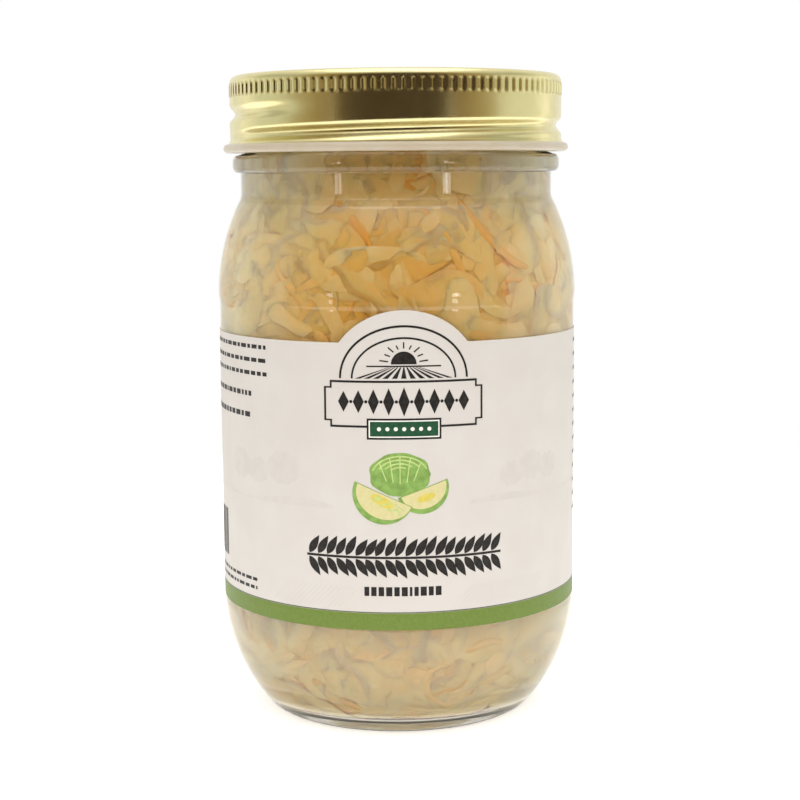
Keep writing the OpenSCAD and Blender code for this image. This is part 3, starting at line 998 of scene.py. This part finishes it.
class ShredPacking:
    """Places shreds behind the glass, by the way round, the way up along the wall, and the depth."""

    # Points round a shred's section, as shares of its half width and half thickness
    across = np.array([-1, -0.72, 0, 0.72, 1, 0.72, 0, -0.72])
    over = np.array([0, 0.8, 1, 0.8, 0, -0.8, -1, -0.8])

    def __init__(self):
        jar = JarLines()
        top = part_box("sauerkraut")[1].z - 1 * MM
        line = np.array(refine(jar.inside(0, top), 1.0 * MM))
        steps = np.linalg.norm(np.diff(line, axis=0), axis=1)
        self.way = np.concatenate(([0], np.cumsum(steps)))
        self.r, self.z = line.T
        slope = np.gradient(line, self.way, axis=0)
        self.out_r, self.out_z = slope[:, 1], -slope[:, 0]
        self.label_low, self.label_high = (c.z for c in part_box("label"))
        self.end = self.way[-1]

    def place(self, draw):
        """A random spot, as (angle, way): fewer behind the label, and none near the floor's middle."""
        while True:
            way = draw.uniform(9 * MM, self.end)
            r, z = np.interp(way, self.way, self.r), np.interp(way, self.way, self.z)
            angle = draw.uniform(-math.pi, math.pi)
            margin = 7 * MM
            hidden = self.label_low + margin < z < self.label_high - 2 * margin and abs(angle) < math.pi * 0.88
            if draw.random() < r / self.r.max() * (0.3 if hidden else 1):
                return angle, way

    def add_shred(self, draw, points, faces, long, wide, thick, depth, twist):
        """Adds one shred: a soft flat strip that bends, twists and tapers, pressed flat by the glass."""
        angle, way = self.place(draw)
        length_mm, width_mm = draw.uniform(*long), draw.uniform(*wide)
        rings = int(np.clip(length_mm * 0.75, 9, 15))
        t = np.linspace(-0.5, 0.5, rings)
        course, p, q = self.course(draw, t, length_mm, width_mm)
        least = draw.uniform(*depth) * MM if draw.random() < 0.7 else depth[0] * MM * draw.uniform(1, 6)
        sway = abs(draw.normal(0, 0.25)) * MM
        wave = np.sin(TURN * (t * draw.uniform(0.5, 1.4) + draw.random()))
        dip = least + 0.5 * thick * MM + sway * (1 + wave)
        flat, deep = self.section(draw, t, width_mm, thick, twist, dip)
        floor_of = least * (1 + 0.02 * draw.random()) + 0.02 * MM * (1 - self.over)
        deep = floor_of + np.maximum(deep - floor_of, 0) + 0.04 * np.minimum(deep - floor_of, 0)
        deep = np.maximum(deep, 0.06 * MM)
        pp = p[:, None] - flat * np.sin(course)[:, None]
        qq = np.clip(way + q[:, None] + flat * np.cos(course)[:, None], 4 * MM, self.end)
        start = len(points)
        points += self.behind_glass(angle, way, pp, qq, deep)
        self.add_faces(faces, start, rings)

    def course(self, draw, t, length_mm, width_mm):
        """The shred's heading and its middle line across and up, bent no tighter than its width allows."""
        heading = draw.uniform(0, math.pi) if draw.random() < 0.45 else draw.normal(0, 0.5)
        bend = draw.normal(0, 0.9) * t * 2 + draw.normal(0, 0.35) * np.sin(TURN * (t + draw.random()))
        tightest = 0.8 * length_mm / (width_mm / 2)
        bend *= min(1, tightest / np.abs(np.gradient(bend, t)).max())
        course = heading + bend
        step = length_mm * MM / (len(t) - 1)
        p = np.cumsum(np.cos(course)) * step
        q = np.cumsum(np.sin(course)) * step
        return course, p - p.mean(), q - q.mean()

    def section(self, draw, t, width_mm, thick, twist, dip):
        """The points round the shred at each ring: how far they lie to the side, and how deep."""
        roll = draw.normal(0, 0.14) + draw.normal(0, twist) * TURN * t
        taper = np.clip(1 - (2 * np.abs(t)) ** draw.uniform(4, 11), 0, 1) ** 0.5 * 0.8 + 0.2
        frill = [1 + 0.2 * np.sin(TURN * (t * draw.uniform(0.8, 3.4) + draw.random())) for _ in (0, 1)]
        half_w = width_mm * MM / 2 * taper
        half_t = thick * MM / 2 * (0.75 + 0.5 * draw.random()) * np.clip(taper * 1.3, 0.4, 1)
        cup = draw.normal(0, 0.07)
        side = half_w[:, None] * self.across * np.where(self.across < 0, frill[0][:, None], frill[1][:, None])
        rise = half_t[:, None] * self.over + cup * half_w[:, None] * self.across ** 2
        flat = side * np.cos(roll)[:, None] - rise * np.sin(roll)[:, None]
        return flat, dip[:, None] + side * np.sin(roll)[:, None] + rise * np.cos(roll)[:, None]

    def behind_glass(self, angle, way, across, up, deep):
        """Points in space, from how far they lie across and up along the wall, and how deep behind it."""
        r = np.interp(up, self.way, self.r) - deep * np.interp(up, self.way, self.out_r)
        z = np.interp(up, self.way, self.z) - deep * np.interp(up, self.way, self.out_z)
        around = angle + across / np.maximum(np.interp(way, self.way, self.r), 8 * MM)
        return np.stack((r * np.sin(around), -r * np.cos(around), z), axis=-1).reshape(-1, 3).tolist()

    def add_faces(self, faces, start, rings):
        """Joins the rings of one shred, and closes its two ends."""
        sides = len(self.across)
        last = start + (rings - 1) * sides
        for a in range(start, last, sides):
            faces += [(a + j, a + (j + 1) % sides, a + sides + (j + 1) % sides, a + sides + j)
                      for j in range(sides)]
        faces.append(tuple(range(start, start + sides)))
        faces.append(tuple(range(last, last + sides))[::-1])


# Lamps: name, degrees round and up, distance, width and height in metres, power in watts, seen in mirrors
SOFTBOXES = (
    ("side_left", -101, 2, 0.62, 0.60, 0.52, 0.22, True),
    ("side_right", 100, 2, 0.62, 0.66, 0.52, 0.36, True),
    ("front_high", 0, 48, 0.95, 1.1, 0.5, 3.0, False),
    ("front_low", 0, 4, 0.95, 1.1, 0.3, 1.9, False),
    ("glint_left", -42, 4, 0.62, 0.025, 0.02, 0.006, True),
    ("glint_right", 37, 4, 0.62, 0.04, 0.02, 0.01, True),
    ("overhead", 0, 86, 0.95, 0.9, 0.9, 3.4, True),
)

# Walls, from the one behind the jar round to the one behind the camera: place, red, green, blue
WALLS = (
    (0.0, 1.0, 1.0, 0.97), (0.22, 0.95, 0.96, 0.92), (0.34, 0.58, 0.60, 0.55), (0.62, 0.54, 0.56, 0.51),
    (0.66, 0.52, 0.46, 0.29), (0.84, 0.32, 0.22, 0.10), (0.91, 0.05, 0.03, 0.013),
)


class JAR_OT_stage(bpy.types.Operator):
    """Sets the camera, the pale floor and the studio lights"""
    bl_idname = "jar.stage"
    bl_label = "Stage"

    def execute(self, context):
        s = context.scene.jar_stage
        scene = context.scene
        eye = bpy.data.cameras.new("camera")
        eye.lens = s.lens
        eye.sensor_width = 36
        eye.clip_start = 0.01
        camera = bpy.data.objects.new("camera", eye)
        scene.collection.objects.link(camera)
        aim = Vector((s.aim_side, 0, s.aim_h))
        back = Vector((0, -math.cos(s.pitch), math.sin(s.pitch)))
        tilt = Matrix.Rotation(math.pi / 2 - s.pitch, 4, "X") @ Matrix.Rotation(-s.roll, 4, "Z")
        camera.matrix_world = Matrix.Translation(aim + back * s.camera_back) @ tilt
        scene.camera = camera
        scene.view_settings.view_transform = "Standard"
        scene.cycles.transparent_max_bounces = 32
        scene.cycles.diffuse_bounces = 6
        scene.cycles.max_bounces = 14

        board = [(0, 0), (s.floor_r, 0), (s.floor_r, -4 * MM), (0, -4 * MM)]
        points, faces = revolve(refine(board, 60 * MM), even_angles(96))
        floor = make_piece("floor", points, faces, white_board(), None)

        for lamp in SOFTBOXES:
            self.softbox(*lamp)
        self.sky(scene)
        return {"FINISHED"}

    def softbox(self, name, around, up, away, wide, tall, power, mirrored):
        """A soft square lamp: degrees round from the camera's side, degrees up, and its distance from the jar.
        One that isn't mirrored lights the jar without showing in the glass or the metal."""
        lamp = bpy.data.lights.new(name, "AREA")
        lamp.shape = "RECTANGLE"
        lamp.size, lamp.size_y = wide, tall
        lamp.energy = power
        a, e = math.radians(around), math.radians(up)
        back = Vector((math.sin(a) * math.cos(e), -math.cos(a) * math.cos(e), math.sin(e)))
        holder = bpy.data.objects.new(name, lamp)
        bpy.context.scene.collection.objects.link(holder)
        holder.visible_glossy = mirrored
        holder.visible_transmission = mirrored
        middle = Vector((0, 0, 70 * MM))
        facing = back.to_track_quat("Z", "Y").to_matrix().to_4x4()
        holder.matrix_world = Matrix.Translation(middle + back * away) @ facing

    def sky(self, scene):
        """White walls all round, but for the dark room behind the camera."""
        world = bpy.data.worlds.new("studio walls")
        world.use_nodes = True
        scene.world = world
        tree = world.node_tree
        tree.nodes.clear()
        place = add_node(tree, "ShaderNodeTexCoord")
        axes = add_node(tree, "ShaderNodeSeparateXYZ", links=[("Vector", place.outputs["Generated"])])
        front = add_node(tree, "ShaderNodeMapRange", [("From Min", 1.0), ("From Max", -1.0)],
                         [("Value", axes.outputs["Y"])])
        ramp = add_node(tree, "ShaderNodeValToRGB", links=[("Fac", front.outputs[0])])
        elements = ramp.color_ramp.elements
        while len(elements) < len(WALLS):
            elements.new(0.5)
        for element, (position, red, green, blue) in zip(elements, WALLS):
            element.position = position
            element.color = (red, green, blue, 1)
        raised = add_node(tree, "ShaderNodeMapRange", [("From Min", 0.55), ("From Max", 0.85)],
                          [("Value", axes.outputs["Z"])])
        ceiling = add_node(tree, "ShaderNodeMix", [("data_type", "RGBA"), (7, (1.0, 1.0, 1.0, 1))],
                           [(0, raised.outputs[0]), (6, ramp.outputs["Color"])])
        walls = add_node(tree, "ShaderNodeBackground", links=[("Color", ceiling.outputs[2])])
        seen = add_node(tree, "ShaderNodeBackground", [("Color", (1, 1, 1, 1))])
        path = add_node(tree, "ShaderNodeLightPath")
        mix = add_node(tree, "ShaderNodeMixShader", links=[
            (0, path.outputs["Is Camera Ray"]), (1, walls.outputs[0]), (2, seen.outputs[0])])
        output = add_node(tree, "ShaderNodeOutputWorld")
        tree.links.new(mix.outputs[0], output.inputs["Surface"])


STEPS = (JAR_OT_stage, JAR_OT_glass, JAR_OT_cap, JAR_OT_label, JAR_OT_print, JAR_OT_brine, JAR_OT_shreds)


class JAR_PT_panel(bpy.types.Panel):
    """Lists the jar's steps in the sidebar"""
    bl_label = "Jar of sauerkraut"
    bl_idname = "JAR_PT_panel"
    bl_space_type = "VIEW_3D"
    bl_region_type = "UI"
    bl_category = "Jar"

    def draw(self, context):
        for step in STEPS:
            self.layout.operator(step.bl_idname)
        for name in GROUPS:
            column = self.layout.column()
            for key in getattr(context.scene, name).bl_rna.properties.keys():
                if key not in ("rna_type", "name"):
                    column.prop(getattr(context.scene, name), key)


def register():
    """Adds the jar's properties, steps and panel to Blender."""
    for group in GROUPS.values():
        bpy.utils.register_class(group)
    for name, group in GROUPS.items():
        setattr(bpy.types.Scene, name, PointerProperty(type=group))
    for step in STEPS:
        bpy.utils.register_class(step)
    bpy.utils.register_class(JAR_PT_panel)


def unregister():
    """Takes them out again."""
    bpy.utils.unregister_class(JAR_PT_panel)
    for step in reversed(STEPS):
        bpy.utils.unregister_class(step)
    for name in GROUPS:
        delattr(bpy.types.Scene, name)
    for group in GROUPS.values():
        bpy.utils.unregister_class(group)


def main():
    """Builds the jar step by step."""
    register()
    bpy.ops.jar.stage()
    bpy.ops.jar.glass()
    bpy.ops.jar.cap()
    bpy.ops.jar.label()
    bpy.ops.jar.print()
    bpy.ops.jar.brine()
    bpy.ops.jar.shreds()


if __name__ == "__main__":
    main()
